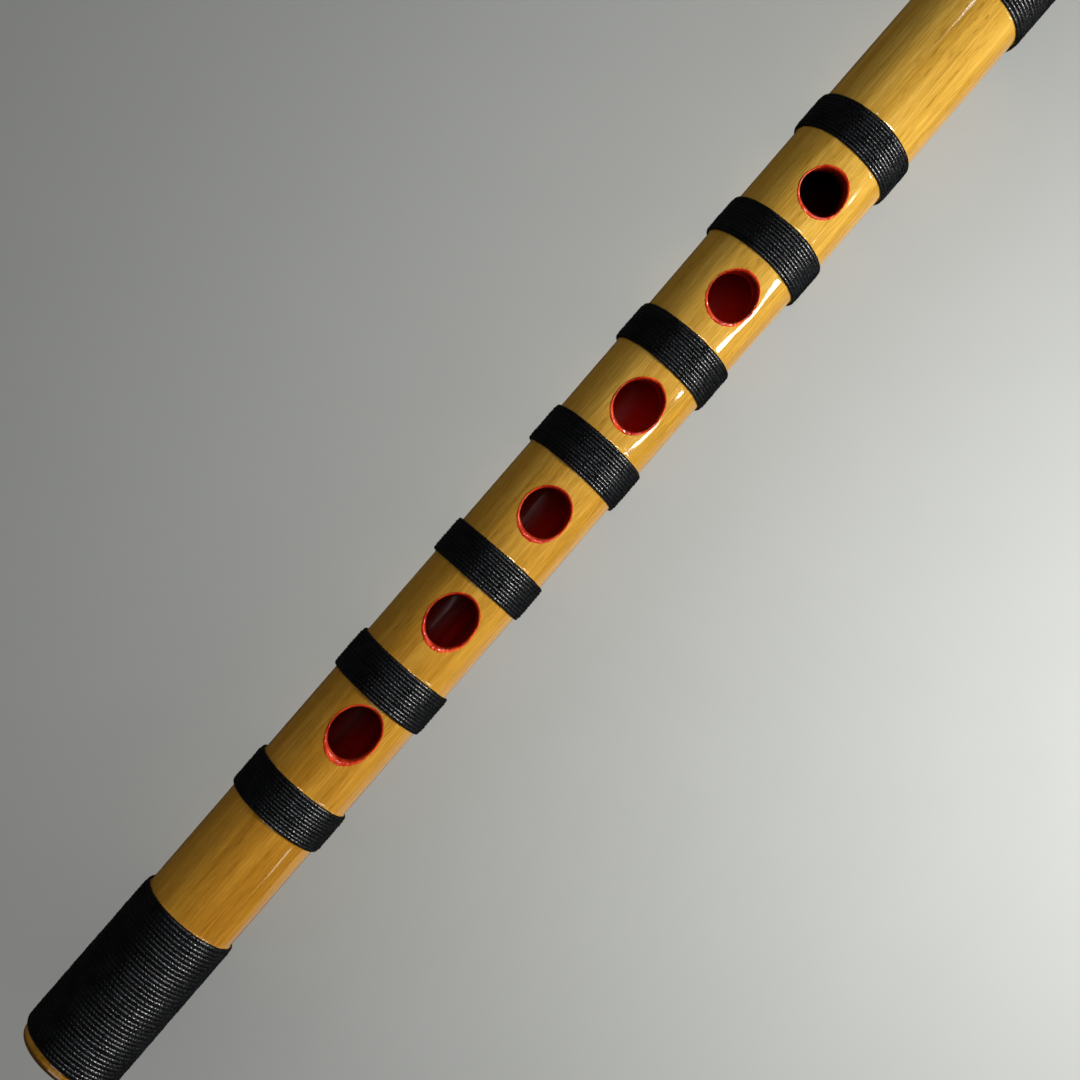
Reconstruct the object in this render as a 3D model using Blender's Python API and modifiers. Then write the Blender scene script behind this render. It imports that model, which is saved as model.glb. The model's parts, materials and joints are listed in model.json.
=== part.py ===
"""Six-hole transverse bamboo flute with a lacquered bore and thread bindings.

Metres, +Z up.  The flute lies along +X from its foot to its head, finger holes up,
and rests on its bindings at z = 0.  The origin is below the middle of its length.
A station is a distance along the flute from its foot end.
"""

import math

import bmesh
import bpy
import numpy as np
from mathutils import Matrix

# Every turned surface has this many flats, and the flats lie on the true radius.
SIDES = 24
OVAL_SIDES = 24
CLEARANCE = 0.0003
OVERCUT = 0.010
SEAM_MERGE = 0.00001

# Bamboo: length, outside radius at a few stations, bore, and rounding of the end rims.
LENGTH = 0.400
CULM_STATIONS = (0.0, 0.150, 0.200, 0.240, LENGTH)
CULM_RADII = (0.00890, 0.00923, 0.00965, 0.00960, 0.00990)
CULM_BORE = 0.00700
RIM_ROUNDING = 0.00070

# Holes: station of the centre and length along the flute; width is across it.
FINGER_HOLES = (
    (0.0761, 0.0112),
    (0.1014, 0.0109),
    (0.1259, 0.0103),
    (0.1506, 0.0106),
    (0.1757, 0.0104),
    (0.2001, 0.0096),
)
FINGER_HOLE_WIDTH = 0.0088
MOUTH_HOLE = (0.3210, 0.0124)
MOUTH_HOLE_WIDTH = 0.0106

# Red lacquer lining of the bore and of every hole.
LACQUER = 0.00040
LINING_RADIUS = CULM_BORE - CLEARANCE
LINING_START = 0.0005
LINING_END = 0.3400

# Thread bindings: first and last station of each.
THREAD = 0.00077
SHOULDER = 0.00030
BINDINGS = {
    "foot_binding": (0.0023, 0.0333),
    "finger_binding_1": (0.0555, 0.0632),
    "finger_binding_2": (0.0824, 0.0903),
    "finger_binding_3": (0.1089, 0.1159),
    "finger_binding_4": (0.1347, 0.1424),
    "finger_binding_5": (0.1586, 0.1663),
    "finger_binding_6": (0.1840, 0.1915),
    "finger_binding_7": (0.2086, 0.2160),
    "middle_binding": (0.2465, 0.2790),
    "mouth_binding_foot_side": (0.2985, 0.3062),
    "mouth_binding_head_side": (0.3358, 0.3435),
    "head_binding": (0.3660, 0.3975),
}

# Closed head end: wax stopper past the mouth hole, paper roll, turned plug.
STOPPER_START = 0.3290
STOPPER_LENGTH = 0.0085
PACKING_START = 0.3405
PACKING_LENGTH = 0.0470
PLUG_LENGTH = 0.0120
PLUG_CHAMFER = 0.0008
PLUG_GROOVE_RADIUS = 0.0045
PLUG_GROOVE = 0.0005

# Finish of each kind of piece: colour, roughness.
BAMBOO_FINISH = ((0.42, 0.22, 0.045, 1.0), 0.28)
LACQUER_FINISH = ((0.72, 0.045, 0.006, 1.0), 0.15)
THREAD_FINISH = ((0.012, 0.012, 0.014, 1.0), 0.42)
WAX_FINISH = ((0.35, 0.10, 0.035, 1.0), 0.45)
PAPER_FINISH = ((0.72, 0.66, 0.52, 1.0), 0.90)
PLUG_FINISH = ((0.035, 0.012, 0.008, 1.0), 0.22)


def culm_radius(station):
    """Outside radius of the bamboo at a station."""
    return float(np.interp(station, CULM_STATIONS, CULM_RADII))


def seat_radius(binding):
    """Radius of the bamboo under a binding's middle, on which the thread lies."""
    start, end = BINDINGS[binding]
    return culm_radius((start + end) / 2)


AXIS_HEIGHT = max(seat_radius(name) for name in BINDINGS) + THREAD


def clear_scene():
    """Remove every object of the start-up scene."""
    for item in list(bpy.data.objects):
        bpy.data.objects.remove(item, do_unlink=True)


def new_collection(name, hidden=False):
    """Add a collection to the scene."""
    collection = bpy.data.collections.new(name)
    collection.hide_render = hidden
    bpy.context.scene.collection.children.link(collection)
    return collection


def principled(name, finish):
    """Make a plain Principled material from a colour and a roughness."""
    colour, roughness = finish
    material = bpy.data.materials.new(name)
    material.use_nodes = True
    shader = material.node_tree.nodes["Principled BSDF"]
    shader.inputs["Base Color"].default_value = colour
    shader.inputs["Roughness"].default_value = roughness
    shader.inputs["Metallic"].default_value = 0.0
    material.diffuse_color = colour
    return material


def add_object(name, mesh, collection, finish=None):
    """Put a mesh in the scene, with a finish for a part or as a hidden cutter."""
    item = bpy.data.objects.new(name, mesh)
    collection.objects.link(item)
    if finish:
        mesh.materials.append(principled(name, finish))
    else:
        item.hide_render = True
        item.display_type = "WIRE"
    return item


def turned(name, outline, collection, finish=None):
    """Turn an outline of (station, radius) about the flute's axis.

    The outline runs from foot to head along the outside.  One that leaves the axis
    and comes back to it makes a rod; any other is closed and makes a ring.
    """
    corner = 1 / math.cos(math.pi / SIDES)
    points = [(radius * corner, 0.0, station) for station, radius in reversed(outline)]
    edges = [(index, index + 1) for index in range(len(points) - 1)]
    if points[0][0] > 0:
        edges.append((len(points) - 1, 0))
    mesh = bpy.data.meshes.new(name)
    mesh.from_pydata(points, edges, [])
    item = add_object(name, mesh, collection, finish)
    half_flat = Matrix.Rotation(math.pi / SIDES, 4, "Z")
    along_x = Matrix.Rotation(math.pi / 2, 4, "Y")
    foot_end = Matrix.Translation((-LENGTH / 2, 0, AXIS_HEIGHT))
    item.matrix_world = foot_end @ along_x @ half_flat
    screw = item.modifiers.new("Turn", "SCREW")
    screw.axis = "Z"
    screw.steps = SIDES
    screw.render_steps = SIDES
    screw.use_merge_vertices = True
    screw.merge_threshold = SEAM_MERGE
    return item


def rod_outline(start, end, radius):
    """Outline of a plain rod."""
    return [(start, 0.0), (start, radius), (end, radius), (end, 0.0)]


def oval_rods(name, inset, collection):
    """One upright oval rod for each hole, from the axis out through the top wall."""
    ovals = [(hole, FINGER_HOLE_WIDTH) for hole in FINGER_HOLES]
    ovals.append((MOUTH_HOLE, MOUTH_HOLE_WIDTH))
    depth = AXIS_HEIGHT + OVERCUT
    shape = bmesh.new()
    for (station, length), width in ovals:
        place = Matrix.Translation((station - LENGTH / 2, 0, AXIS_HEIGHT + depth / 2))
        half_sizes = (length / 2 - inset, width / 2 - inset, 1.0, 1.0)
        bmesh.ops.create_cone(
            shape,
            cap_ends=True,
            segments=OVAL_SIDES,
            radius1=1.0,
            radius2=1.0,
            depth=depth,
            matrix=place @ Matrix.Diagonal(half_sizes),
        )
    mesh = bpy.data.meshes.new(name)
    shape.to_mesh(mesh)
    shape.free()
    return add_object(name, mesh, collection)


def boolean(item, operand, operation):
    """Combine a piece with another body."""
    modifier = item.modifiers.new(operation.title(), "BOOLEAN")
    modifier.operation = operation
    modifier.solver = "EXACT"
    modifier.object = operand


def culm_outline():
    """Half section of the bamboo: outside with a shallow seat for each binding, then bore."""
    outside = []
    for name, (start, end) in BINDINGS.items():
        seat = seat_radius(name) - CLEARANCE
        first = start - CLEARANCE
        last = end + CLEARANCE
        outside.append((first, culm_radius(first)))
        outside.append((first, seat))
        outside.append((last, seat))
        outside.append((last, culm_radius(last)))
    for station, radius in zip(CULM_STATIONS[1:-1], CULM_RADII[1:-1]):
        outside.append((station, radius))
    outside.sort(key=lambda point: point[0])
    foot = culm_radius(0.0)
    head = culm_radius(LENGTH)
    foot_rim = [(0.0, CULM_BORE), (0.0, foot - RIM_ROUNDING), (RIM_ROUNDING, foot)]
    head_rim = [(LENGTH - RIM_ROUNDING, head), (LENGTH, head - RIM_ROUNDING), (LENGTH, CULM_BORE)]
    return foot_rim + outside + head_rim


def build_tube(parts, cutters):
    """Bamboo tube with its finger holes and mouth hole."""
    tube = turned("bamboo_tube", culm_outline(), parts, BAMBOO_FINISH)
    boolean(tube, oval_rods("hole_cutters", 0.0, cutters), "DIFFERENCE")


def build_lining(parts, cutters):
    """Lacquer skin of the bore, with a sleeve out through each hole."""
    stations = (-OVERCUT,) + CULM_STATIONS[1:-1] + (LENGTH + OVERCUT,)
    outside = [(station, culm_radius(station)) for station in stations]
    culm_blank = turned(
        "culm_blank", [(-OVERCUT, 0.0)] + outside + [(LENGTH + OVERCUT, 0.0)], cutters
    )
    sleeves = oval_rods("sleeve_blanks", CLEARANCE, cutters)
    boolean(sleeves, culm_blank, "INTERSECT")
    bore_outline = rod_outline(-OVERCUT, LENGTH + OVERCUT, LINING_RADIUS - LACQUER)
    bore = turned("bore_cutter", bore_outline, cutters)
    openings = oval_rods("opening_cutters", CLEARANCE + LACQUER, cutters)

    lining_outline = rod_outline(LINING_START, LINING_END, LINING_RADIUS)
    lining = turned("bore_lacquer", lining_outline, parts, LACQUER_FINISH)
    boolean(lining, sleeves, "UNION")
    boolean(lining, openings, "DIFFERENCE")
    boolean(lining, bore, "DIFFERENCE")


def build_bindings(parts):
    """Each thread binding as a ring with rounded shoulders, lying in its seat."""
    for name, (start, end) in BINDINGS.items():
        inner = seat_radius(name)
        outer = inner + THREAD
        outline = [
            (start, inner),
            (start, outer - SHOULDER),
            (start + SHOULDER, outer),
            (end - SHOULDER, outer),
            (end, outer - SHOULDER),
            (end, inner),
        ]
        turned(name, outline, parts, THREAD_FINISH)


def build_head_end(parts):
    """Stopper, packing and plug that close the bore beyond the mouth hole."""
    stopper_radius = LINING_RADIUS - LACQUER - CLEARANCE
    stopper_end = STOPPER_START + STOPPER_LENGTH
    stopper = rod_outline(STOPPER_START, stopper_end, stopper_radius)
    turned("bore_stopper", stopper, parts, WAX_FINISH)

    fill_radius = CULM_BORE - CLEARANCE
    packing_end = PACKING_START + PACKING_LENGTH
    packing = rod_outline(PACKING_START, packing_end, fill_radius)
    turned("head_packing", packing, parts, PAPER_FINISH)

    plug_start = LENGTH - PLUG_LENGTH
    plug = [
        (plug_start, 0.0),
        (plug_start, fill_radius - PLUG_CHAMFER),
        (plug_start + PLUG_CHAMFER, fill_radius),
        (LENGTH - PLUG_CHAMFER, fill_radius),
        (LENGTH, fill_radius - PLUG_CHAMFER),
        (LENGTH, PLUG_GROOVE_RADIUS + PLUG_GROOVE),
        (LENGTH - PLUG_GROOVE, PLUG_GROOVE_RADIUS),
        (LENGTH, PLUG_GROOVE_RADIUS - PLUG_GROOVE),
        (LENGTH, 0.0),
    ]
    turned("head_plug", plug, parts, PLUG_FINISH)


def main():
    """Build the whole flute."""
    clear_scene()
    parts = new_collection("bamboo_flute")
    cutters = new_collection("cutters", hidden=True)
    build_tube(parts, cutters)
    build_lining(parts, cutters)
    build_bindings(parts)
    build_head_end(parts)


main()
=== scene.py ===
"""Looks of a six-hole transverse bamboo flute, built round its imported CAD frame.

Metres, in the CAD model's frame: +X from the foot to the head of the flute, +Z up
through the finger holes, resting on z = 0.
"""

import json
import math

import bpy
import numpy as np
from mathutils import Matrix, Vector
from mathutils.bvhtree import BVHTree

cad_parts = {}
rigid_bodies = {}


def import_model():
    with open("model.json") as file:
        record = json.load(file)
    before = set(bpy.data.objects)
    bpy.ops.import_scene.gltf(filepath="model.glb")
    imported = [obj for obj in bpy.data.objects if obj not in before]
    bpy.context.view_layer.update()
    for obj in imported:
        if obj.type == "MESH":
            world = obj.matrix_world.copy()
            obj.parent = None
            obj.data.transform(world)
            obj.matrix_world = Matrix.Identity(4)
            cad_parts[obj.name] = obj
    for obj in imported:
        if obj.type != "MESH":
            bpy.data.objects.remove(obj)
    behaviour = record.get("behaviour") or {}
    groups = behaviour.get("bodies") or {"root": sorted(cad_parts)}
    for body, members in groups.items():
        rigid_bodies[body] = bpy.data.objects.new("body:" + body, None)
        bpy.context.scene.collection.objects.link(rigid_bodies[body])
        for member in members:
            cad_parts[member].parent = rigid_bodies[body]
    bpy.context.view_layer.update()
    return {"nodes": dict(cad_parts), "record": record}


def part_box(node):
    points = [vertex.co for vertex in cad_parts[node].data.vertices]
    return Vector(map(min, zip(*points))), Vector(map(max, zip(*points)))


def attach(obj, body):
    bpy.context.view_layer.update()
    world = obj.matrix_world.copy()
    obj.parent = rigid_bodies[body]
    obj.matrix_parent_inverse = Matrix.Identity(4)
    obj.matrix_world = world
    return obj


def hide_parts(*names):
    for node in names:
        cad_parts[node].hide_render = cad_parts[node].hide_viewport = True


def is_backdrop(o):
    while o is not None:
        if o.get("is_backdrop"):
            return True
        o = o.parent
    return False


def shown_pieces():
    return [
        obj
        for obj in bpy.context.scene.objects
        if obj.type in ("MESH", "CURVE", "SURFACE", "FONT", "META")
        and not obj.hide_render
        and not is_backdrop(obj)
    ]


for item in list(bpy.data.objects):
    bpy.data.objects.remove(item, do_unlink=True)
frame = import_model()

MM = 0.001
TURN = 2 * math.pi
ROOT = "root"

# Places read from the CAD frame.
TUBE_LOW, TUBE_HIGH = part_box("bamboo_tube")
FOOT = TUBE_LOW.x
HEAD = TUBE_HIGH.x
AXIS = (TUBE_LOW.z + TUBE_HIGH.z) / 2
BINDINGS = {name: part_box(name) for name in sorted(frame["nodes"]) if "binding" in name}
OPENINGS = {item["name"]: item["box_m"] for item in frame["record"]["physics"]["openings"]}

# Bamboo wall and lacquer skin.
BORE = 7.0 * MM
SKIN_BORE = 6.3 * MM
RIM_ROUND = 1.2 * MM

# Holes: half length along the flute and half width across it, outside the lacquer.
FINGER_HALF_LENGTHS = [5.6 * MM, 5.45 * MM, 5.15 * MM, 5.3 * MM, 5.2 * MM, 4.8 * MM]
FINGER_HALF_WIDTH = 4.4 * MM
MOUTH_HALF_LENGTH = 6.2 * MM
MOUTH_HALF_WIDTH = 5.3 * MM

# Lacquer lips: thickness down the hole's wall, and how much more is built up on the foot
# side of each hole, the mouth hole last.
LIP_ALONG = 0.60 * MM
LIP_ACROSS = 0.28 * MM
LIP_BUILD_UP = [0.9, 0.2, 0.5, 0.15, 0.15, 0.15, 0.3]

# Shallow dish worn round each hole.
DISH = 0.20 * MM
DISH_REACH = 1.2 * MM

# Clear lacquer drawn up against the edges of the bindings.
MENISCUS = 0.16 * MM
MENISCUS_REACH = 0.22 * MM

# Fineness of the meshes.
CULM_SIDES = 180
CULM_RINGS = 180
CLOSE_RINGS = 36
CLOSE_RINGS_REACH = 2.2 * MM
SKIN_SIDES = 96
SKIN_RINGS = 170
HOLE_SIDES = 96
LIP_SIDES = 300
PINHOLE = 0.02 * MM

# The bamboo grows paler between these two places along the flute.
PALER_BEGINS = -175 * MM
PALER_FULL = 30 * MM

# Thread of the bindings, and how far turns overlap: half its width over its pitch. A winding
# is its pitch and its mesh rows a turn; the long bindings are wound more openly.
THREAD = 0.77 * MM
THREAD_OVERLAP = 0.70
LONG_BINDING = 12 * MM
LONG_WINDING = (0.79 * MM, 270)
NARROW_WINDING = (0.66 * MM, 480)
PLIES = 3
TWIST_LENGTH = 2.0 * MM

# Studio.
FLOOR_RADIUS = 1.6
WALL_BEND = 0.9
WALL_HEIGHT = 1.7
SURROUND_GLOW = 0.30
GLOW_BEGINS = 0.12
GLOW_FULL = 1.0
FLOOR_SIDES = 96

# Camera: aim, distance and attitude relative to the flute.
AIM_STATION = 122.3 * MM
MIDDLE = (FOOT + AIM_STATION, 0, AXIS)
AIM_ASIDE = 3.6 * MM
CAMERA_DISTANCE = 260.7 * MM
CAMERA_LENS = 49.0
FLUTE_SLOPE = math.radians(49.16)
HEAD_RECEDES = math.radians(3.0)
HOLES_ROLLED = math.radians(9.0)

# Lamps: where along the flute the key points, and the two colours of light.
KEY_X = 20 * MM
WARM = (1.0, 0.96, 0.90)
COOL = (0.95, 0.98, 1.0)


def binding_surface(name):
    """Radius of the bamboo under a binding."""
    low, high = BINDINGS[name]
    return (high.y - low.y) / 2 - THREAD


def culm_radius(x):
    """Mean outside radius of the bamboo at x, read off its bindings."""
    middles = {name: (low.x + high.x) / 2 for name, (low, high) in BINDINGS.items()}
    names = sorted(middles, key=middles.get)
    return np.interp(x, [middles[name] for name in names], [binding_surface(name) for name in names])


# ---------------------------------------------------------------- meshes


def signed_volume(mesh):
    """Volume inside a closed mesh, negative where its faces point inward."""
    mesh.calc_loop_triangles()
    corners = np.zeros(len(mesh.loop_triangles) * 3, np.int32)
    mesh.loop_triangles.foreach_get("vertices", corners)
    points = np.zeros(len(mesh.vertices) * 3)
    mesh.vertices.foreach_get("co", points)
    a, b, c = points.reshape(-1, 3)[corners.reshape(-1, 3)].transpose(1, 0, 2)
    return float(np.einsum("ij,ij->i", a, np.cross(b, c)).sum() / 6)


def lattice_mesh(name, points, closed_rows):
    """Mesh of rows of closed sections; the rows close on themselves or end in caps."""
    rows, columns = points.shape[:2]
    index = np.arange(rows * columns).reshape(rows, columns)
    here = index if closed_rows else index[:-1]
    beyond = np.roll(index, -1, axis=0) if closed_rows else index[1:]
    quads = np.stack([here, np.roll(here, -1, axis=1), np.roll(beyond, -1, axis=1), beyond], axis=-1)
    faces = quads.reshape(-1, 4).tolist()
    if not closed_rows:
        faces.append(index[0][::-1].tolist())
        faces.append(index[-1].tolist())
    mesh = bpy.data.meshes.new(name)
    mesh.from_pydata(points.reshape(-1, 3).tolist(), [], faces)
    if signed_volume(mesh) < 0:
        mesh.flip_normals()
    mesh.shade_smooth()
    return mesh


def place(name, mesh, material, stands_for, slot):
    """Put a finished piece in the scene, riding on the flute in place of a CAD node."""
    mesh.materials.append(material)
    piece = bpy.data.objects.new(name, mesh)
    bpy.context.scene.collection.objects.link(piece)
    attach(piece, ROOT)
    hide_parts(stands_for)
    return piece


def round_axis(x, radius, angle):
    """Points at a radius and an angle round the flute's axis; angle 0 is up."""
    x, radius, angle = np.broadcast_arrays(x, radius, angle)
    return np.stack([x, radius * np.sin(angle), AXIS + radius * np.cos(angle)], axis=-1)


def turned_mesh(name, outline, sides):
    """Mesh of a closed outline of (x, radius) turned about the flute's axis."""
    x, radius = np.array(outline).T
    angle = np.linspace(0, TURN, sides, endpoint=False)
    return lattice_mesh(name, round_axis(x[:, None], radius[:, None], angle[None, :]), True)


def wander(rng, place, spacing, amount):
    """Smooth random drift along a line, with a new value every spacing."""
    knots = rng.normal(0.0, amount, int(place.max() / spacing) + 3)
    step = place / spacing
    left = np.floor(step).astype(int)
    blend = step - left
    blend = blend * blend * (3 - 2 * blend)
    return knots[left] * (1 - blend) + knots[left + 1] * blend


def cut(piece_mesh, cutter_meshes):
    """A mesh with other closed meshes cut out of it."""
    body = bpy.data.objects.new("body", piece_mesh)
    bpy.context.scene.collection.objects.link(body)
    cutters = []
    for mesh in cutter_meshes:
        cutter = bpy.data.objects.new("cutter", mesh)
        bpy.context.scene.collection.objects.link(cutter)
        cutters.append(cutter)
        modifier = body.modifiers.new("Cut", "BOOLEAN")
        modifier.operation = "DIFFERENCE"
        modifier.solver = "EXACT"
        modifier.object = cutter
    evaluated = body.evaluated_get(bpy.context.evaluated_depsgraph_get())
    result = bpy.data.meshes.new_from_object(evaluated)
    for helper in [body] + cutters:
        bpy.data.objects.remove(helper, do_unlink=True)
    return result


# ------------------------------------------------------------- materials


class Surface:
    """A node material with its Principled shader, and short calls to add nodes."""

    def __init__(self, name):
        self.material = bpy.data.materials.new(name)
        self.material.use_nodes = True
        self.tree = self.material.node_tree
        self.shader = self.tree.nodes["Principled BSDF"]
        self.coordinates = self.tree.nodes.new("ShaderNodeTexCoord")

    def set(self, **values):
        """Set plain values on the shader's own sockets."""
        for name, value in values.items():
            socket = name.replace("_", " ").title().replace("Ior", "IOR")
            self.shader.inputs[socket].default_value = value

    def link(self, output, socket):
        """Connect an output to an input."""
        self.tree.links.new(output, socket)

    def noise(self, stretch, detail=3.0, roughness=0.55, distortion=0.0, place=None):
        """Noise whose features repeat stretch times a metre along X, Y and Z."""
        mapping = self.tree.nodes.new("ShaderNodeMapping")
        mapping.inputs["Scale"].default_value = stretch
        self.link(place or self.coordinates.outputs["Object"], mapping.inputs["Vector"])
        noise = self.tree.nodes.new("ShaderNodeTexNoise")
        noise.inputs["Scale"].default_value = 1.0
        noise.inputs["Detail"].default_value = detail
        noise.inputs["Roughness"].default_value = roughness
        noise.inputs["Distortion"].default_value = distortion
        self.link(mapping.outputs["Vector"], noise.inputs["Vector"])
        return noise.outputs["Fac"]

    def axis(self, name):
        """One of the object's own coordinates, in metres."""
        split = self.tree.nodes.new("ShaderNodeSeparateXYZ")
        self.link(self.coordinates.outputs["Object"], split.inputs["Vector"])
        return split.outputs[name]

    def distance(self, centre):
        """Distance from a point in the object's own coordinates."""
        node = self.tree.nodes.new("ShaderNodeVectorMath")
        node.operation = "DISTANCE"
        self.link(self.coordinates.outputs["Object"], node.inputs[0])
        node.inputs[1].default_value = centre
        return node.outputs["Value"]

    def stored(self, name, kind="Vector"):
        """A vector or a value stored on the mesh's points."""
        node = self.tree.nodes.new("ShaderNodeAttribute")
        node.attribute_name = name
        return node.outputs[kind]

    def spread(self, value, low, high, out_low=0.0, out_high=1.0):
        """Map a value's range onto another, held between its ends."""
        node = self.tree.nodes.new("ShaderNodeMapRange")
        node.interpolation_type = "SMOOTHSTEP"
        node.inputs["From Min"].default_value = low
        node.inputs["From Max"].default_value = high
        node.inputs["To Min"].default_value = out_low
        node.inputs["To Max"].default_value = out_high
        self.link(value, node.inputs["Value"])
        return node.outputs["Result"]

    def sum(self, first, second, operation="ADD"):
        """Combine two values."""
        node = self.tree.nodes.new("ShaderNodeMath")
        node.operation = operation
        for socket, value in zip(node.inputs, (first, second)):
            if isinstance(value, (int, float)):
                socket.default_value = value
            else:
                self.link(value, socket)
        return node.outputs["Value"]

    def blend(self, factor, first, second, kind="MIX"):
        """Blend two colours by a factor."""
        node = self.tree.nodes.new("ShaderNodeMix")
        node.data_type = "RGBA"
        node.blend_type = kind
        if isinstance(factor, (int, float)):
            node.inputs["Factor"].default_value = factor
        else:
            self.link(factor, node.inputs["Factor"])
        for socket, value in ((node.inputs[6], first), (node.inputs[7], second)):
            if isinstance(value, tuple):
                socket.default_value = (*value, 1.0)
            else:
                self.link(value, socket)
        return node.outputs[2]

    def tint(self, value, low, high, first, second):
        """Go from one colour to another as a value goes from low to high."""
        return self.blend(self.spread(value, low, high), first, second)

    def colour(self, output):
        """Use a colour as the base colour."""
        self.link(output, self.shader.inputs["Base Color"])

    def roughness(self, output):
        """Use a value as the roughness."""
        self.link(output, self.shader.inputs["Roughness"])

    def multiply(self, first, second):
        """Multiply two values."""
        return self.sum(first, second, "MULTIPLY")

    def relief(self, height, depth, sockets=("Normal",)):
        """Use a height as bump of a depth in metres."""
        bump = self.tree.nodes.new("ShaderNodeBump")
        bump.inputs["Strength"].default_value = 1.0
        bump.inputs["Distance"].default_value = depth
        self.link(height, bump.inputs["Height"])
        for socket in sockets:
            self.link(bump.outputs["Normal"], self.shader.inputs[socket])


def bamboo_grain(surface, fibre, hair):
    """Colour of the bamboo: paler towards the head, with clouds, streaks, dark lines and flecks."""
    broad = surface.noise((14, 230, 230), detail=2.0)
    cloud = surface.noise((50, 900, 900), detail=3.0)
    lines = surface.noise((130, 3600, 3600), detail=1.0)
    flecks = surface.noise((380, 3400, 3400), detail=1.0, roughness=0.4)
    headwards = surface.spread(surface.axis("X"), PALER_BEGINS, PALER_FULL)
    pale = surface.blend(headwards, (0.54, 0.265, 0.029), (0.68, 0.415, 0.075))
    deep = surface.blend(headwards, (0.42, 0.192, 0.017), (0.57, 0.325, 0.042))
    tone = surface.blend(surface.spread(broad, 0.36, 0.64), deep, pale)
    mottle = surface.tint(cloud, 0.35, 0.65, (0.91, 0.89, 0.82), (1.04, 1.05, 1.10))
    streak = surface.tint(fibre, 0.36, 0.64, (0.90, 0.87, 0.80), (1.05, 1.05, 1.07))
    grain = surface.tint(hair, 0.36, 0.64, (0.87, 0.85, 0.78), (1.06, 1.06, 1.08))
    for shade in (mottle, streak, grain):
        tone = surface.blend(1.0, tone, shade, "MULTIPLY")
    dark = surface.multiply(surface.spread(lines, 0.62, 0.72), surface.spread(cloud, 0.42, 0.62))
    tone = surface.blend(surface.multiply(dark, 0.45), tone, (0.15, 0.062, 0.008))
    fleck = surface.multiply(surface.spread(flecks, 0.60, 0.72), surface.spread(broad, 0.60, 0.42))
    return surface.blend(surface.multiply(fleck, 0.50), tone, (0.20, 0.085, 0.010))


def bamboo_edges(surface, tone):
    """Painted shade down both sides, darker round the rims, and bare end grain on the end faces."""
    aside = surface.axis("Y")
    # Painted shade: darker towards the -Y edge, standing in for the key light's falloff there.
    painted_flank_shade = surface.spread(aside, -8.5 * MM, -4.8 * MM, 0.72, 1.0)
    tone = surface.blend(painted_flank_shade, (0.30, 0.135, 0.014), tone)
    # Painted shade: darker on the +Y side, which faces away from the key light.
    back = surface.spread(aside, 5.8 * MM, 8.8 * MM, 0.0, 0.55)
    tone = surface.blend(back, tone, (0.20, 0.095, 0.008))
    endwards = surface.sum(surface.axis("X"), 0.0, "ABSOLUTE")
    rim = surface.spread(endwards, HEAD - 1.5 * MM, HEAD - 0.75 * MM, 0.0, 0.92)
    tone = surface.blend(rim, tone, (0.085, 0.030, 0.007))
    pores = surface.noise((2600, 2600, 2600), detail=2.0)
    end_grain = surface.tint(pores, 0.48, 0.62, (0.42, 0.235, 0.085), (0.10, 0.040, 0.010))
    cut_end = surface.spread(endwards, HEAD - 0.12 * MM, HEAD - 0.02 * MM)
    return surface.blend(cut_end, tone, end_grain)


def bamboo_surface():
    """Amber bamboo under a wavy clear coat, beaded where it meets the bindings."""
    surface = Surface("lacquered_bamboo")
    fibre = surface.noise((60, 2700, 2700), detail=3.0, roughness=0.6)
    hair = surface.noise((260, 7000, 7000), detail=2.0, roughness=0.5)
    surface.colour(bamboo_edges(surface, bamboo_grain(surface, fibre, hair)))
    surface.roughness(surface.spread(fibre, 0.3, 0.7, 0.52, 0.42))
    surface.set(coat_weight=0.85, coat_roughness=0.09, coat_ior=1.5, specular_ior_level=0.0)
    surface.relief(surface.sum(fibre, hair), 0.010 * MM)
    wave = surface.noise((55, 330, 330), detail=2.0)
    peel = surface.noise((700, 1900, 1900), detail=1.0)
    bead = surface.noise((3000, 2600, 2600), detail=1.0)
    beading = surface.multiply(surface.multiply(bead, surface.stored("beading", "Fac")), 3.2)
    gloss = surface.sum(wave, surface.multiply(peel, 0.10))
    surface.relief(surface.sum(gloss, beading), 0.055 * MM, ("Coat Normal",))
    return surface.material


def lacquer_surface():
    """Thick orange-red lacquer with a wet gloss and slight brush marks, and painted shade down the
    walls of the holes.
    """
    surface = Surface("orange_red_lacquer")
    broad = surface.noise((420, 420, 420), detail=3.0)
    fine = surface.noise((2200, 2200, 2200), detail=2.0)
    tone = surface.tint(broad, 0.35, 0.65, (0.48, 0.012, 0.003), (0.86, 0.075, 0.014))
    # Painted shade: near black down each hole's wall, most on its head side, where the key light
    # doesn't reach.
    surface.colour(surface.blend(surface.stored("soaked", "Fac"), tone, (0.10, 0.003, 0.0015)))
    surface.roughness(surface.spread(fine, 0.3, 0.7, 0.18, 0.36))
    surface.set(coat_weight=0.9, coat_roughness=0.07, coat_ior=1.5, specular_ior_level=0.1)
    surface.relief(fine, 0.09 * MM, ("Normal", "Coat Normal"))
    return surface.material


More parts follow.
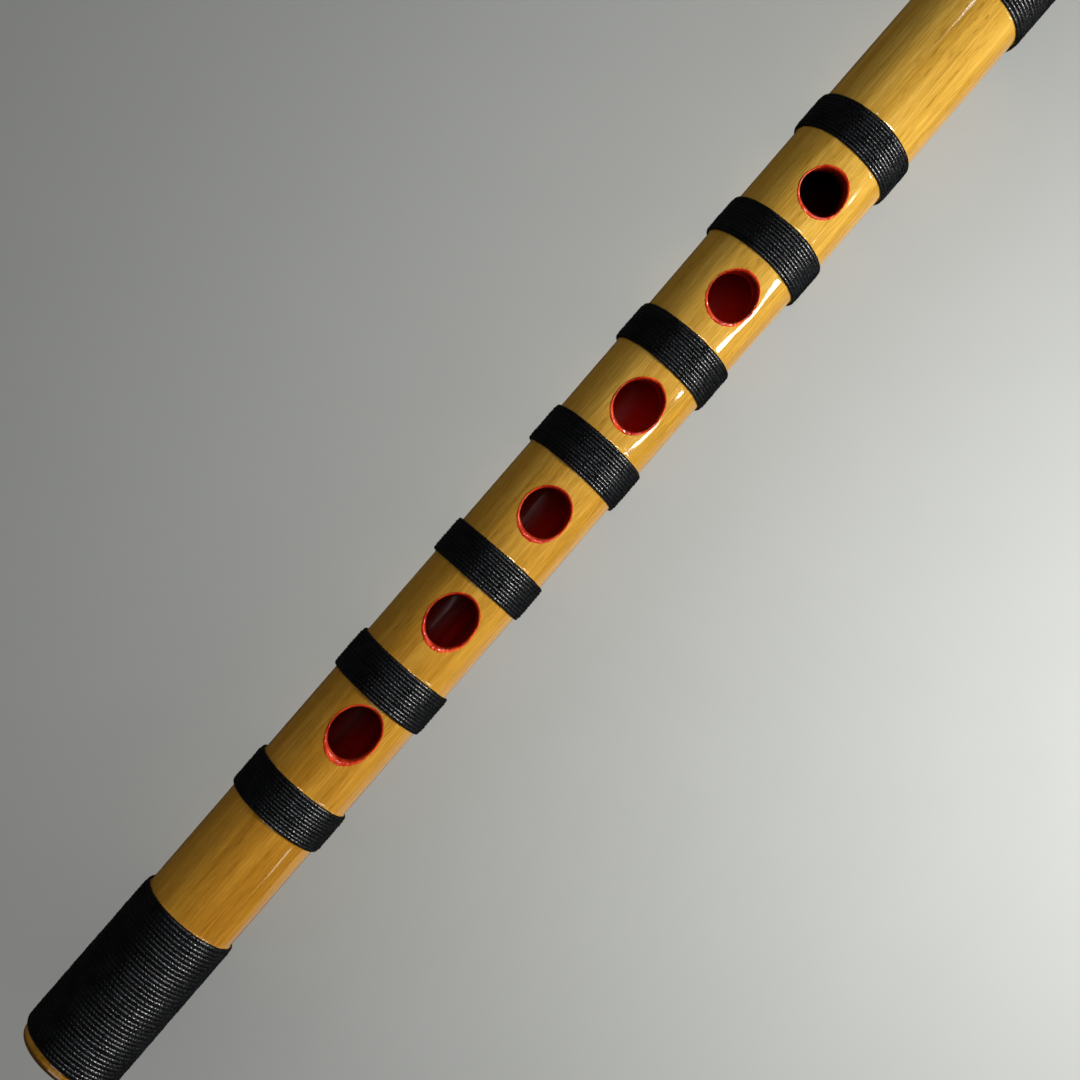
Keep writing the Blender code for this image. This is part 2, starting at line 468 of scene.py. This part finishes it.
def bore_surface():
    """The lacquer in the bore: deeper red, painted light as a brighter red between two places, and
    painted shade, nearly black, beyond.
    """
    surface = Surface("dark_red_bore_lacquer")
    broad = surface.noise((60, 500, 500), detail=2.0)
    brush = surface.noise((90, 2400, 2400), detail=2.0)
    thin = surface.tint(broad, 0.3, 0.7, (0.20, 0.003, 0.001), (0.36, 0.006, 0.002))
    # Painted light: a brighter red where light reaches into the bore under the middle holes.
    thick = (0.56, 0.010, 0.003)
    along = surface.axis("X")
    painted_light_begins = surface.spread(along, -85 * MM, -45 * MM)
    painted_light_ends = surface.spread(along, -20 * MM, -8 * MM, 1.0, 0.0)
    tone = surface.blend(surface.multiply(painted_light_begins, painted_light_ends), thin, thick)
    # Painted shade: nearly black towards the head, where the bore lies in shade.
    bare = (0.035, 0.0015, 0.0008)
    surface.colour(surface.blend(surface.spread(along, -12 * MM, -4 * MM), tone, bare))
    surface.roughness(surface.spread(brush, 0.3, 0.7, 0.26, 0.42))
    surface.set(coat_weight=0.20, coat_roughness=0.20, specular_ior_level=0.2)
    surface.relief(brush, 0.03 * MM, ("Normal", "Coat Normal"))
    return surface.material


def thread_surface():
    """Black thread of fine filaments, waxed to a broken gloss."""
    surface = Surface("waxed_black_thread")
    unwound = surface.stored("unwound")
    filament = surface.noise((1500, 9000, 9000), detail=2.0, roughness=0.5, place=unwound)
    wax = surface.noise((2200, 2700, 2700), detail=2.0)
    broad = surface.noise((300, 300, 300), detail=2.0)
    tone = surface.tint(broad, 0.3, 0.7, (0.0008, 0.0009, 0.0011), (0.003, 0.0033, 0.004))
    surface.colour(tone)
    surface.roughness(surface.spread(wax, 0.44, 0.56, 0.11, 0.42))
    surface.set(coat_weight=0.0, specular_ior_level=0.5, sheen_weight=0.01, sheen_roughness=0.4)
    surface.relief(filament, 0.008 * MM)
    return surface.material


def wax_surface():
    """Brown sealing wax, smeared and satin."""
    surface = Surface("brown_wax")
    broad = surface.noise((400, 400, 400), detail=3.0)
    surface.colour(surface.blend(broad, (0.22, 0.05, 0.015), (0.42, 0.13, 0.05)))
    surface.roughness(surface.spread(broad, 0.3, 0.7, 0.35, 0.6))
    surface.relief(broad, 0.15 * MM)
    return surface.material


def paper_surface():
    """Tightly rolled handmade paper."""
    surface = Surface("rolled_paper")
    fibre = surface.noise((900, 900, 900), detail=5.0)
    surface.colour(surface.blend(fibre, (0.58, 0.51, 0.37), (0.80, 0.74, 0.60)))
    surface.set(roughness=0.9)
    surface.relief(fibre, 0.05 * MM)
    return surface.material


def plug_surface():
    """Turned dark hardwood under clear lacquer, grain along the flute."""
    surface = Surface("turned_dark_wood")
    grain = surface.noise((120, 1400, 1400), detail=4.0, roughness=0.6)
    surface.colour(surface.tint(grain, 0.35, 0.65, (0.016, 0.006, 0.004), (0.075, 0.026, 0.014)))
    surface.roughness(surface.spread(grain, 0.3, 0.7, 0.42, 0.30))
    surface.set(coat_weight=0.8, coat_roughness=0.08)
    surface.relief(grain, 0.02 * MM)
    return surface.material


# ---------------------------------------------------------------- pieces


def holes():
    """(name, centre x, half length, half width) of each finger hole and the mouth hole."""
    rows = []
    for number, half_length in enumerate(FINGER_HALF_LENGTHS, start=1):
        low, high = OPENINGS[f"finger_hole_{number}"]
        rows.append((f"finger_hole_{number}", (low[0] + high[0]) / 2, half_length, FINGER_HALF_WIDTH))
    low, high = OPENINGS["mouth_hole"]
    rows.append(("mouth_hole", (low[0] + high[0]) / 2, MOUTH_HALF_LENGTH, MOUTH_HALF_WIDTH))
    return rows


def oval_cutters(along, across):
    """Upright oval rods through the top wall at each hole, smaller by the given insets."""
    angle = np.linspace(0, TURN, HOLE_SIDES, endpoint=False)
    meshes = []
    for name, centre, half_length, half_width in holes():
        x = centre + (half_length - along) * np.cos(angle)
        y = (half_width - across) * np.sin(angle)
        levels = [AXIS, AXIS + 2 * BORE]
        points = np.stack([np.stack([x, y, np.full_like(x, z)], axis=-1) for z in levels])
        meshes.append(lattice_mesh(name, points, False))
    return meshes


def dish_depth(x, y):
    """Depth of the dish round the holes at a point on the upper side."""
    depth = 0
    for _, centre, half_length, half_width in holes():
        distance = np.hypot(x - centre, y)
        relative = np.hypot((x - centre) / half_length, y / half_width)
        outside = distance * (1 - 1 / np.maximum(relative, 1))
        depth = np.maximum(depth, DISH * np.exp(-outside / DISH_REACH))
    return depth


def ring_places(edges):
    """Where the culm's rings stand: close by holes and binding edges, sparse elsewhere."""
    near = np.array([-0.5, -0.3, -0.15, -0.05, 0.05, 0.15, 0.3, 0.5]) * MM
    bare = np.linspace(FOOT + RIM_ROUND, HEAD - RIM_ROUND, CULM_RINGS)
    keep = np.ones(len(bare), bool)
    for low, high in BINDINGS.values():
        keep &= (bare < low.x) | (bare > high.x)
    rows = [bare[keep], (edges[:, None] + near[None, :]).ravel()]
    for _, centre, half_length, _ in holes():
        reach = half_length + CLOSE_RINGS_REACH
        keep = np.abs(rows[0] - centre) > reach
        rows[0] = rows[0][keep]
        rows.append(np.linspace(centre - reach, centre + reach, CLOSE_RINGS))
    return np.sort(np.concatenate([rows[0], *rows[1:], [FOOT + RIM_ROUND, HEAD - RIM_ROUND]]))


def meniscus(x, angle, rng):
    """Height of the clear lacquer along the edges of the bindings, beaded round the flute."""
    height = np.zeros((len(x), len(angle)))
    for low, high in BINDINGS.values():
        for edge in (low.x, high.x):
            beads = np.zeros_like(angle)
            for lobes in (7, 13, 22, 37, 58):
                beads += np.cos(lobes * angle + rng.uniform(0, TURN)) / 2.5
            amount = np.clip(0.55 + 0.45 * beads, 0.1, 1.2)
            away = np.abs(x - edge) / MENISCUS_REACH
            height += MENISCUS * np.exp(-away**2)[:, None] * amount[None, :]
    return height


def build_culm(material):
    """The bamboo tube, with slow natural unevenness, rounded rims and its holes."""
    rng = np.random.default_rng(11)
    edges = np.array([corner.x for box in BINDINGS.values() for corner in box])
    outside = np.unique(ring_places(edges))
    inside = np.linspace(HEAD, FOOT, 30)
    turn_in = np.linspace(0, math.pi / 2, 7)[:-1]
    drop = RIM_ROUND * (1 - np.sin(turn_in))
    x = np.concatenate([FOOT + RIM_ROUND * (1 - np.cos(turn_in)), outside,
                        (HEAD - RIM_ROUND * (1 - np.cos(turn_in)))[::-1], inside])
    radius = np.concatenate([culm_radius(FOOT) - drop, culm_radius(outside),
                             (culm_radius(HEAD) - drop)[::-1], np.full(len(inside), BORE)])
    angle = np.linspace(0, TURN, CULM_SIDES, endpoint=False)
    uneven = np.zeros((len(x), CULM_SIDES))
    for lobes, amount in ((2, 0.05), (3, 0.03), (5, 0.018), (11, 0.008), (23, 0.005)):
        phase, drift = rng.uniform(0, TURN, 2)
        along = (x[:, None] - FOOT) / (HEAD - FOOT)
        uneven += amount * MM * np.cos(lobes * angle[None, :] + phase + (drift - 3) * along)
    uneven += meniscus(x, angle, rng)
    aside = radius[:, None] * np.sin(angle)[None, :]
    uneven -= dish_depth(x[:, None], aside) * (np.cos(angle) > 0)[None, :]
    uneven[-len(inside):] = 0
    points = round_axis(x[:, None], radius[:, None] + uneven, angle[None, :])
    mesh = cut(lattice_mesh("bamboo_culm", points, True), oval_cutters(0.12 * MM, 0.12 * MM))
    mesh.set_sharp_from_angle(angle=math.radians(35))
    where = np.zeros(len(mesh.vertices) * 3)
    mesh.vertices.foreach_get("co", where)
    away = np.abs(where[::3][:, None] - edges[None, :]).min(axis=1) / MENISCUS_REACH
    beading = np.exp(-(away / 1.5) ** 2)
    mesh.attributes.new("beading", "FLOAT", "POINT").data.foreach_set("value", beading)
    return place("bamboo_culm", mesh, material, "bamboo_tube", "bamboo")


def build_bore_skin(material):
    """The red lacquer that lines the bore, open at the foot and at every hole."""
    low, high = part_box("bore_lacquer")
    there = np.linspace(low.x, high.x, SKIN_RINGS)
    back = np.linspace(high.x, low.x, SKIN_RINGS)
    x = np.concatenate([there, back])
    radius = np.repeat([BORE, SKIN_BORE], SKIN_RINGS)
    angle = np.linspace(0, TURN, SKIN_SIDES, endpoint=False)
    points = round_axis(x[:, None], radius[:, None], angle[None, :])
    mesh = cut(lattice_mesh("bore_skin", points, True), oval_cutters(LIP_ALONG, LIP_ACROSS))
    mesh.set_sharp_from_angle(angle=math.radians(35))
    return place("lacquer_bore_skin", mesh, material, "bore_lacquer", "red_lacquer")


def ragged_line(rng, angle, lobes, fade):
    """A closed random outline of about unit height, with less of each finer wave."""
    waves = np.zeros_like(angle)
    for lobe in lobes:
        waves += rng.normal(0, 1.0) * np.cos(lobe * angle + rng.uniform(0, TURN)) / lobe**fade
    return waves / np.abs(waves).max()


def surface_round_hole(culm, x, y):
    """Radius of the finished bamboo at each point of a line round a hole."""
    mesh = culm.data
    tree = BVHTree.FromPolygons([v.co for v in mesh.vertices], [p.vertices for p in mesh.polygons])
    above = AXIS + 2 * BORE
    down = Vector((0, 0, -1))
    hits = [tree.ray_cast(Vector((a, b, above)), down)[0] for a, b in zip(x, y)]
    return np.hypot(y, [hit.z - AXIS for hit in hits])


def build_lip(number, hole, culm, material):
    """Lacquer brushed over the edge of one hole and down its wall, with a ragged outline."""
    rng = np.random.default_rng(40 + number)
    name, centre, half_length, half_width = hole
    angle = np.linspace(0, TURN, LIP_SIDES, endpoint=False)
    foot_side = 0.5 - 0.5 * np.cos(angle - 0.10)
    broad = ragged_line(rng, angle, (1, 2, 3, 5, 7), 0.3)
    teeth = ragged_line(rng, angle, (17, 26, 35, 47, 61, 77), 0.25)
    reach = (0.07 + 0.25 * foot_side**1.5 + 0.05 * broad + (0.03 + 0.09 * foot_side) * teeth) * MM
    reach = np.clip(reach, 0.04 * MM, 0.7 * MM)
    lumps = ragged_line(rng, angle, (11, 19, 29, 43, 59), 0.2)
    lumpy = 0.010 + (0.045 + 0.06 * LIP_BUILD_UP[number]) * foot_side**2
    crest = (0.055 + 0.06 * foot_side + 0.015 * broad + lumpy * lumps) * MM
    crest = np.clip(crest, 0.035 * MM, 0.20 * MM)
    round_x = centre + (half_length + reach) * np.cos(angle)
    round_y = (half_width + reach) * np.sin(angle)
    surface = surface_round_hole(culm, round_x, round_y) + dish_depth(round_x, round_y)
    notch = (0.03 + 0.06 * foot_side) * MM * ragged_line(rng, angle, (9, 21, 33, 51), 0.2)
    inset_x = LIP_ALONG * (1 + 0.45 * LIP_BUILD_UP[number] * foot_side**2)
    inset_y = LIP_ACROSS * np.ones_like(angle)
    profile = [
        (reach, reach, -0.05 * MM),
        (0.94 * reach, 0.94 * reach, 0.45 * crest),
        (0.7 * reach, 0.7 * reach, 0.85 * crest),
        (0.3 * reach, 0.3 * reach, crest),
        (-0.12 * inset_x + notch, -0.12 * inset_y + notch, 0.75 * crest),
        (-0.36 * inset_x + notch, -0.36 * inset_y + notch, 0.1 * crest),
        (-0.62 * inset_x + 0.5 * notch, -0.62 * inset_y + 0.5 * notch, -0.14 * MM),
        (-0.85 * inset_x, -0.85 * inset_y, -0.34 * MM),
        (-inset_x, -inset_y, -0.75 * MM),
        (-inset_x, -inset_y, -1.5 * MM),
        (-inset_x, -inset_y, SKIN_BORE + 0.3 * MM - surface),
        (-0.1 * inset_x, -0.1 * inset_y, SKIN_BORE + 0.6 * MM - surface),
        (-0.05 * inset_x, -0.05 * inset_y, -0.6 * MM),
    ]
    sections = []
    for along, across, height in profile:
        x = centre + (half_length + along) * np.cos(angle)
        y = (half_width + across) * np.sin(angle)
        z = AXIS + np.sqrt((surface + height - dish_depth(x, y)) ** 2 - y**2)
        sections.append(np.stack([x, y, z], axis=-1))
    mesh = lattice_mesh(f"lip_{name}", np.stack(sections, axis=1), True)
    # Painted shade down the hole's wall: rows below the crest darken, less on the foot side, which the
    # key light reaches.
    soaked = np.interp(np.arange(len(profile)), (3.5, 6.5), (0.0, 1.0))
    shade = (1 - 0.6 * foot_side)[:, None] * soaked[None, :]
    mesh.attributes.new("soaked", "FLOAT", "POINT").data.foreach_set("value", shade.ravel())
    return place(f"lacquer_lip_{name}", mesh, material, "bore_lacquer", "red_lacquer")


def ply_outline():
    """Angle and relative radius of the points round a twisted thread's section."""
    angle = []
    radius = []
    for ply in range(PLIES):
        for offset, size in ((-60, 0.84), (-24, 0.98), (24, 0.98)):
            angle.append(math.radians(ply * 360 / PLIES + offset))
            radius.append(size)
    return np.array(angle), np.array(radius)


def build_binding(number, name, material):
    """One binding: a single twisted thread wound turn against turn over the bamboo."""
    rng = np.random.default_rng(70 + number)
    low, high = BINDINGS[name]
    length = high.x - low.x
    pitch, samples = LONG_WINDING if length > LONG_BINDING else NARROW_WINDING
    turns = round(length / pitch)
    pitch = length / turns
    wound = np.linspace(0, turns, turns * samples + 1)
    angle = math.pi + TURN * wound
    surface = binding_surface(name)
    slack = np.sin(math.pi * wound / turns) ** 0.5
    lay = np.cos(angle + rng.uniform(0, TURN)) * 0.04 * MM
    lay += wander(rng, wound, 0.3, 0.028 * MM) + wander(rng, wound, 0.05, 0.032 * MM)
    centre_x = low.x + pitch * wound + lay * slack
    slub = 1 + wander(rng, wound, 0.12, 0.06) + wander(rng, wound, 0.03, 0.04)
    last = np.minimum(wound, turns - wound)
    tucked = np.clip(last / 0.08, 0, 1)
    flat = 0.80 + 0.20 * np.clip(last / 1.2, 0, 1)
    height = 0.5 * THREAD * (0.6 + 0.4 * tucked) * flat
    width = THREAD_OVERLAP * pitch * (0.6 + 0.4 * tucked) * slub
    centre_radius = surface + height - 0.03 * MM + wander(rng, wound, 0.22, 0.016 * MM)
    centre_radius += wander(rng, wound, 0.05, 0.014 * MM)
    run = wound * TURN * surface
    twist = TURN * run / TWIST_LENGTH + wander(rng, wound, 0.5, 1.2) + wander(rng, wound, 0.06, 0.6)

    outline_angle, outline_radius = ply_outline()
    section = twist[:, None] + outline_angle[None, :]
    x = centre_x[:, None] + width[:, None] * outline_radius * np.sin(section)
    radius = centre_radius[:, None] + height[:, None] * outline_radius * np.cos(section)
    mesh = lattice_mesh(name, round_axis(x, radius, angle[:, None]), False)
    thick = 0.5 * THREAD * np.broadcast_to(outline_radius, section.shape)
    unwound = np.stack([np.broadcast_to(run[:, None], section.shape), thick * np.sin(section),
                        thick * np.cos(section)], axis=-1)
    mesh.attributes.new("unwound", "FLOAT_VECTOR", "POINT").data.foreach_set("vector", unwound.ravel())
    return place(f"wound_{name}", mesh, material, name, "thread")


def build_stopper(material):
    """Wax plug of the bore, dished where it was pressed home."""
    low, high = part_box("bore_stopper")
    radius = np.linspace(0, SKIN_BORE, 24)
    dish = low.x + 0.9 * MM * (1 - (radius / SKIN_BORE) ** 2)
    outline = [(x, r) for x, r in zip(dish, radius)]
    outline[0] = (dish[0], PINHOLE)
    outline += [(high.x, SKIN_BORE), (high.x, PINHOLE)]
    mesh = turned_mesh("stopper", outline, 64)
    return place("wax_stopper", mesh, material, "bore_stopper", "wax")


def build_head_plug(material):
    """Turned plug of the head end, with a rounded edge and a ring groove in its flat face."""
    low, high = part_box("head_plug")
    clearance = 0.02 * MM
    corner = 0.8 * MM
    radius = BORE - clearance
    face = high.x
    outline = [(low.x, PINHOLE), (low.x, radius - corner), (low.x + corner, radius)]
    outline += [(face - corner + corner * math.sin(a), radius - corner + corner * math.cos(a))
                for a in np.linspace(0, math.pi / 2, 8)]
    for step in np.linspace(0, 1, 9):
        outline.append((face - 0.45 * MM * math.sin(math.pi * step), 5.1 * MM - 1.2 * MM * step))
    outline.append((face, 3.0 * MM))
    outline.append((face, PINHOLE))
    mesh = turned_mesh("plug", outline, 96)
    mesh.set_sharp_from_angle(angle=math.radians(30))
    return place("turned_head_plug", mesh, material, "head_plug", "plug_wood")


def build_flute():
    """Every piece of the flute."""
    culm = build_culm(bamboo_surface())
    lacquer = lacquer_surface()
    build_bore_skin(bore_surface())
    for number, hole in enumerate(holes()):
        build_lip(number, hole, culm, lacquer)
    thread = thread_surface()
    for number, name in enumerate(BINDINGS):
        build_binding(number, name, thread)
    build_stopper(wax_surface())
    build_head_plug(plug_surface())
    packing = frame["nodes"]["head_packing"]
    packing.data.materials.clear()
    packing.data.materials.append(paper_surface())


# ----------------------------------------------------------------- stage


def build_stage():
    """A plain pale floor that turns up into a round wall far from the flute."""
    surface = Surface("pale_floor")
    grain = surface.noise((60, 60, 60), detail=2.0)
    surface.colour(surface.blend(grain, (0.502, 0.517, 0.503), (0.522, 0.537, 0.523)))
    surface.set(roughness=0.8, specular_ior_level=0.1, emission_color=(1.0, 0.99, 0.97, 1.0))
    away = surface.distance((FOOT + AIM_STATION, 0, 0))
    glow = surface.spread(away, GLOW_BEGINS, GLOW_FULL, 0.0, SURROUND_GLOW)
    surface.link(glow, surface.shader.inputs["Emission Strength"])
    bend = np.linspace(0, math.pi / 2, 13)
    radius = np.concatenate([[0.001, 0.6], FLOOR_RADIUS + WALL_BEND * np.sin(bend)])
    height = np.concatenate([[0, 0], WALL_BEND * (1 - np.cos(bend))])
    radius = np.append(radius, radius[-1])
    height = np.append(height, WALL_HEIGHT)
    angle = np.linspace(0, TURN, FLOOR_SIDES, endpoint=False)
    rows = [np.stack([r * np.cos(angle), r * np.sin(angle), np.full_like(angle, z)], axis=-1)
            for r, z in zip(radius, height)]
    points = np.stack(rows)
    index = np.arange(len(rows) * FLOOR_SIDES).reshape(-1, FLOOR_SIDES)
    inner, outer = index[:-1], index[1:]
    quads = np.stack([inner, np.roll(inner, -1, axis=1), np.roll(outer, -1, axis=1), outer], axis=-1)
    faces = quads.reshape(-1, 4).tolist() + [index[0].tolist()]
    mesh = bpy.data.meshes.new("floor")
    mesh.from_pydata(points.reshape(-1, 3).tolist(), [], faces)
    mesh.shade_smooth()
    mesh.materials.append(surface.material)
    floor = bpy.data.objects.new("floor", mesh)
    floor.visible_glossy = False
    bpy.context.scene.collection.objects.link(floor)
    floor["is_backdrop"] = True


def camera_placing():
    """The camera's world matrix, from how the flute lies in its view."""
    along = Vector((math.cos(FLUTE_SLOPE), math.sin(FLUTE_SLOPE), 0))
    aside = Vector((math.sin(FLUTE_SLOPE), -math.cos(FLUTE_SLOPE), 0))
    back = Vector((0, 0, 1))
    flute_x = along * math.cos(HEAD_RECEDES) - back * math.sin(HEAD_RECEDES)
    towards = flute_x.cross(aside).normalized()
    towards = aside.cross(flute_x) if towards.z < 0 else towards
    flute_z = towards * math.cos(HOLES_ROLLED) + aside * math.sin(HOLES_ROLLED)
    flute_y = flute_z.cross(flute_x)
    in_view = Matrix((flute_x, flute_y, flute_z)).transposed()
    attitude = in_view.inverted()
    aim = Vector(MIDDLE)
    location = aim + attitude @ (aside * AIM_ASIDE + back * CAMERA_DISTANCE)
    return Matrix.Translation(location) @ attitude.to_4x4()


def build_camera():
    """The camera, looking down on the finger holes."""
    data = bpy.data.cameras.new("camera")
    data.lens = CAMERA_LENS
    data.sensor_width = 36.0
    data.clip_start = 0.01
    camera = bpy.data.objects.new("camera", data)
    camera.matrix_world = camera_placing()
    bpy.context.scene.collection.objects.link(camera)
    bpy.context.scene.camera = camera


def group(name, items):
    """A collection that lamps can be linked to."""
    made = bpy.data.collections.new(name)
    for item in items:
        made.objects.link(item)
    return made


def area_light(name, place, target, size, power, colour, receivers):
    """A soft rectangular lamp that lights one group of objects."""
    data = bpy.data.lights.new(name, "AREA")
    data.shape = "RECTANGLE"
    data.size, data.size_y = size
    data.energy = power
    data.color = colour
    lamp = bpy.data.objects.new(name, data)
    lamp.location = place
    lamp.rotation_mode = "QUATERNION"
    lamp.rotation_quaternion = (Vector(target) - Vector(place)).to_track_quat("-Z", "Y")
    lamp.visible_camera = False
    lamp.light_linking.receiver_collection = receivers
    bpy.context.scene.collection.objects.link(lamp)
    return lamp


def beside(x, distance, elevation, azimuth=-90):
    """A place at a distance from the flute's axis at x; azimuth 0 is +X and 90 is +Y."""
    turn, lift = math.radians(azimuth), math.radians(elevation)
    away = Vector((math.cos(turn) * math.cos(lift), math.sin(turn) * math.cos(lift), math.sin(lift)))
    return Vector((x, 0, AXIS)) + away * distance


def build_world():
    """A dim neutral surround."""
    world = bpy.data.worlds.new("studio")
    bpy.context.scene.world = world
    world.use_nodes = True
    background = world.node_tree.nodes["Background"]
    background.inputs["Color"].default_value = (0.97, 0.98, 1.0, 1.0)
    background.inputs["Strength"].default_value = 0.025


def lit(name, beginning):
    """A collection, for lamps to light, of the pieces whose names have this beginning."""
    return group(f"lit_{name}", [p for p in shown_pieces() if p.name.startswith(beginning)])


def build_flute_lights(flute):
    """A near warm key on the head half, a weak top light and a fill from behind.

    A row is a lamp's name, place, aim, size, watts and colour.
    """
    on_key = (KEY_X, 0, AXIS)
    lamps = (
        ("key", beside(KEY_X, 0.33, 42), on_key, (0.09, 0.09), 1.45, WARM),
        ("top", beside(0.01, 0.40, 76, 90), MIDDLE, (0.3, 0.2), 0.25, COOL),
        ("fill", beside(-0.02, 0.60, 6, 90), MIDDLE, (0.5, 0.3), 0.07, WARM),
    )
    for lamp in lamps:
        area_light(*lamp, flute).visible_glossy = False


def build_gloss_lights(flute):
    """Small lamps seen only in gloss, each for the streak, glint or sheen it is named after.

    A row is a lamp's name, place, aim, size, watts, colour and the pieces it lights.
    """
    bamboo = lit("bamboo", "bamboo_culm")
    lips = lit("lips", "lacquer_lip")
    bore = lit("bore", "lacquer_bore_skin")
    foot = (FOOT, 0, AXIS)
    on_foot_streak = (-0.15, 0, AXIS)
    in_bore = (-0.08, 0, AXIS)
    past_head = (0.46, -0.20, 0.42)
    lamps = (
        ("streak", beside(0.147, 0.76, 31), MIDDLE, (0.16, 0.14), 2.4, WARM, flute),
        ("foot_streak", beside(-0.318, 0.80, 17), on_foot_streak, (0.05, 0.06), 0.06, WARM, flute),
        ("head_streak", beside(0.321, 0.5, 72, 90), MIDDLE, (0.04, 0.04), 0.12, COOL, bamboo),
        ("edge_glint", past_head, MIDDLE, (0.20, 0.07), 4.4, WARM, bamboo),
        ("lip_glint", past_head, MIDDLE, (0.10, 0.06), 4.0, WARM, lips),
        ("bore_glint", beside(-0.075, 0.5, 80), in_bore, (0.07, 0.03), 0.06, COOL, bore),
        ("rim_glint", beside(FOOT, 0.5, 45, 180), foot, (0.24, 0.20), 0.55, WARM, bamboo),
        ("floor_sheen", beside(0.0, 0.30, -46), MIDDLE, (0.6, 0.30), 0.24, COOL, bamboo),
    )
    for lamp in lamps:
        area_light(*lamp).visible_diffuse = False
    bpy.data.objects["floor_sheen"].light_linking.blocker_collection = bamboo


def build_thread_lights():
    """A wide sheen on the thread's near side and three narrow lamps for its glints."""
    thread = lit("thread", "wound")
    area_light("side_sheen", beside(0.0, 0.5, 6), MIDDLE, (0.5, 0.3), 0.09, COOL, thread)
    for name, elevation, power in (("low", 37, 1.20), ("high", 76, 0.70), ("left", 108, 0.16)):
        near = beside(0.05, 0.5, elevation)
        area_light(f"glint_{name}", near, MIDDLE, (0.18, 0.03), power, COOL, thread)


def build_floor_lights():
    """One lamp for the pool of light on the floor; the far floor glows by itself."""
    floor = group("lit_floor", [bpy.data.objects["floor"]])
    pale = (1.0, 0.99, 0.975)
    above = Vector((-0.001, -0.156, 0.231))
    below = above - Vector((0, 0, 1))
    wash = area_light("wash", above, below, (0.08, 0.08), 0.80, pale, floor)
    wash.light_linking.blocker_collection = floor


build_flute()
build_stage()
build_camera()
build_world()
every_piece = lit("flute", "")
build_flute_lights(every_piece)
build_gloss_lights(every_piece)
build_thread_lights()
build_floor_lights()
bpy.context.scene.view_settings.view_transform = "Standard"
